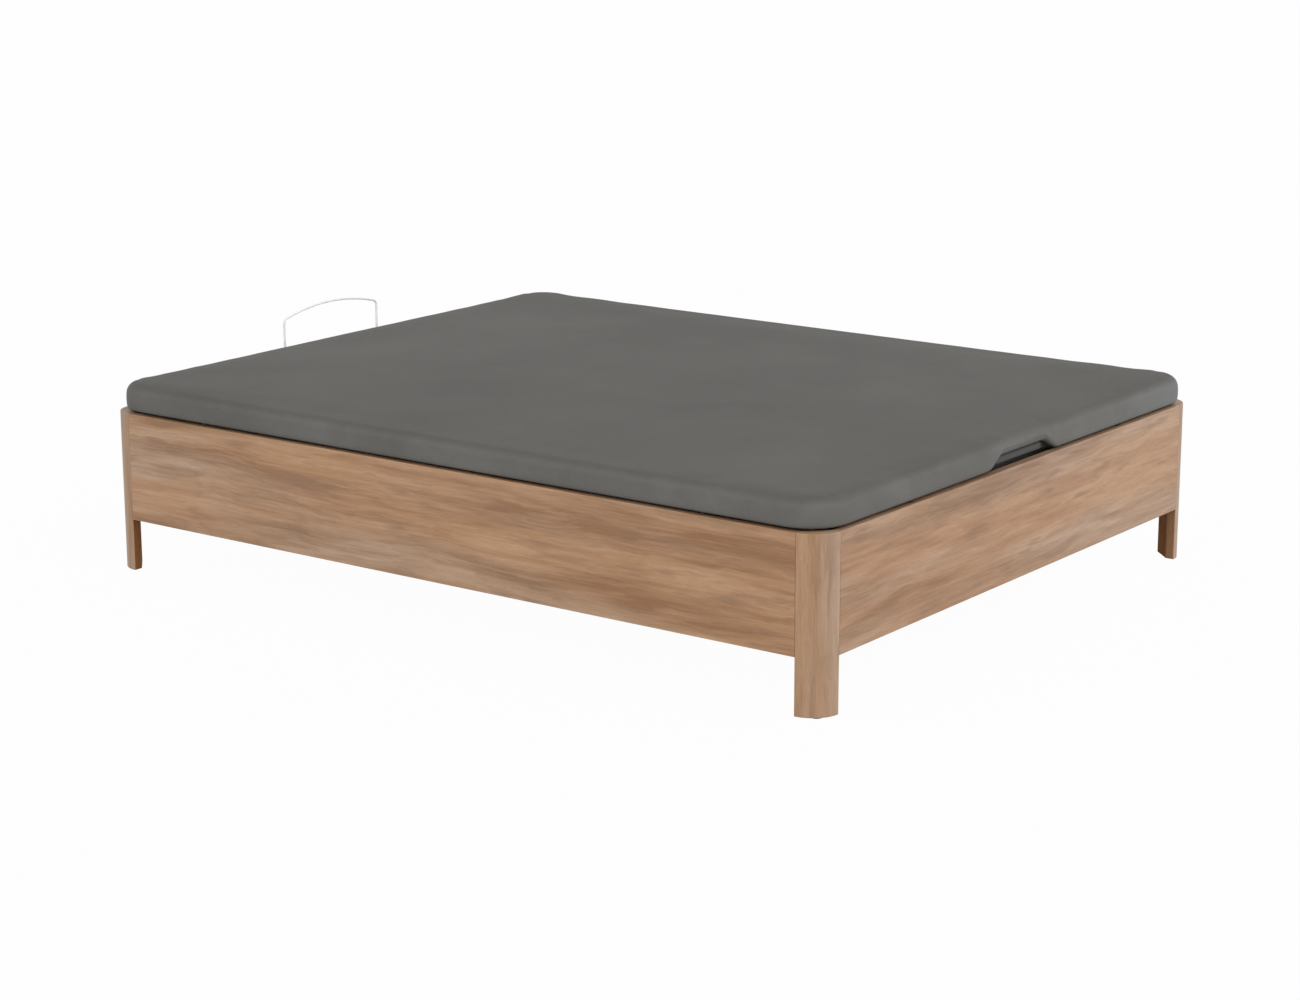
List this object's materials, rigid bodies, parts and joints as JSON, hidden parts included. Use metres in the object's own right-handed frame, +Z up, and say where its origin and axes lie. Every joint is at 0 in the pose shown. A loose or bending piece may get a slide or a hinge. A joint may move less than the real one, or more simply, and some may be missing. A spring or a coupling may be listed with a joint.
{
  "type": "storage bed base",
  "caption": "Lift-up storage bed base: wood-look box on rounded corner-post legs, upholstered lid hinged at the head end on gas springs, hand notch and wire mattress retainer.",
  "frame": {"origin": "on the floor, under the middle of the bounding box of box and mattress retainer", "axes": "+X across the bed to the right seen from the foot end, +Y towards the head end, +Z up"},
  "size_m": [1.6, 2.032, 0.526],
  "materials": {
    "oak_decor_board": "satin melamine with oak decor, grain along the board",
    "oak_decor_post": "satin wrapped post with oak decor, grain upright",
    "black_plastic": "matte moulded",
    "zinc_steel": "zinc plated",
    "beech": "raw",
    "pine": "raw planed",
    "floor_board": "matte laminated chipboard",
    "black_steel": "satin powder coat",
    "black_rubber": "matte",
    "chrome_rod": "polished",
    "grey_cloth": "tight woven upholstery cloth",
    "foam": "soft open-cell foam",
    "lid_panel": "raw chipboard",
    "grey_paint": "satin powder coat",
    "light_paint": "satin powder coat"
  },
  "bodies": {
    "base": {"beam_screws": "zinc_steel", "cam_locks": "zinc_steel", "cam_pins": "zinc_steel", "centre_leg_feet": "black_plastic", "centre_legs": "black_steel", "corner_post_foot_left": "oak_decor_post", "corner_post_foot_right": "oak_decor_post", "corner_post_head_left": "oak_decor_post", "corner_post_head_right": "oak_decor_post", "crossbeam_foot": "pine", "crossbeam_head": "pine", "dowels": "beech", "floor_ledger_foot": "pine", "floor_ledger_head": "pine", "floor_ledger_left": "pine", "floor_ledger_right": "pine", "floor_panel_foot": "floor_board", "floor_panel_head": "floor_board", "floor_panel_middle": "floor_board", "foot_board": "oak_decor_board", "gas_lower_bolts": "zinc_steel", "gas_lower_brackets": "black_steel", "gas_lower_screws": "zinc_steel", "head_board": "oak_decor_board", "hinge_base_leaf_centre": "zinc_steel", "hinge_base_leaf_left": "zinc_steel", "hinge_base_leaf_right": "zinc_steel", "hinge_base_screws": "zinc_steel", "hinge_pins": "zinc_steel", "ledger_screws": "zinc_steel", "leg_glides": "black_plastic", "rim_bumpers": "black_rubber", "side_board_left": "oak_decor_board", "side_board_right": "oak_decor_board"},
    "lid": {"gas_upper_bolts": "zinc_steel", "gas_upper_brackets": "black_steel", "handhold_liner": "grey_cloth", "hinge_lid_leaf_centre": "zinc_steel", "hinge_lid_leaf_left": "zinc_steel", "hinge_lid_leaf_right": "zinc_steel", "hinge_lid_screws": "zinc_steel", "lid_board": "lid_panel", "lid_cover": "grey_cloth", "lid_foam": "foam", "lid_frame_screws": "zinc_steel", "lid_tube_caps": "black_plastic", "lid_tube_cross_foot": "grey_paint", "lid_tube_cross_head": "grey_paint", "lid_tube_cross_middle": "grey_paint", "lid_tube_foot": "grey_paint", "lid_tube_head": "grey_paint", "lid_tube_left": "grey_paint", "lid_tube_right": "grey_paint", "mattress_retainer": "light_paint", "retainer_ferrules": "zinc_steel", "retainer_set_screws": "zinc_steel"},
    "left_gas_cylinder": {"gas_cylinder_left": "black_steel"},
    "right_gas_cylinder": {"gas_cylinder_right": "black_steel"},
    "left_gas_rod": {"gas_rod_left": "chrome_rod"},
    "right_gas_rod": {"gas_rod_right": "chrome_rod"}
  },
  "joints": [
    {"name": "lid_hinge", "type": "hinge", "parent": "base", "child": "lid", "pos_m": [0, 0.974, 0.38], "axis": [-1, 0, 0], "range_deg": [0, 45]},
    {"name": "gas_cylinder_left_pivot", "type": "hinge", "parent": "base", "child": "left_gas_cylinder", "pos_m": [-0.758, 0.858, 0.17908], "axis": [-1, 0, 0], "range_deg": [0, 22.5]},
    {"name": "gas_rod_left_pivot", "type": "hinge", "parent": "lid", "child": "left_gas_rod", "pos_m": [-0.758, 0.74214, 0.3719], "axis": [-1, 0, 0], "range_deg": [-22.5, 0]},
    {"name": "gas_cylinder_right_pivot", "type": "hinge", "parent": "base", "child": "right_gas_cylinder", "pos_m": [0.758, 0.858, 0.17908], "axis": [-1, 0, 0], "range_deg": [0, 22.5]},
    {"name": "gas_rod_right_pivot", "type": "hinge", "parent": "lid", "child": "right_gas_rod", "pos_m": [0.758, 0.74214, 0.3719], "axis": [-1, 0, 0], "range_deg": [-22.5, 0]}
  ],
  "couplings": [
    {"joint": "gas_cylinder_left_pivot", "follows": "lid_hinge", "ratio": 0.5},
    {"joint": "gas_rod_left_pivot", "follows": "lid_hinge", "ratio": -0.5},
    {"joint": "gas_cylinder_right_pivot", "follows": "lid_hinge", "ratio": 0.5},
    {"joint": "gas_rod_right_pivot", "follows": "lid_hinge", "ratio": -0.5}
  ]
}
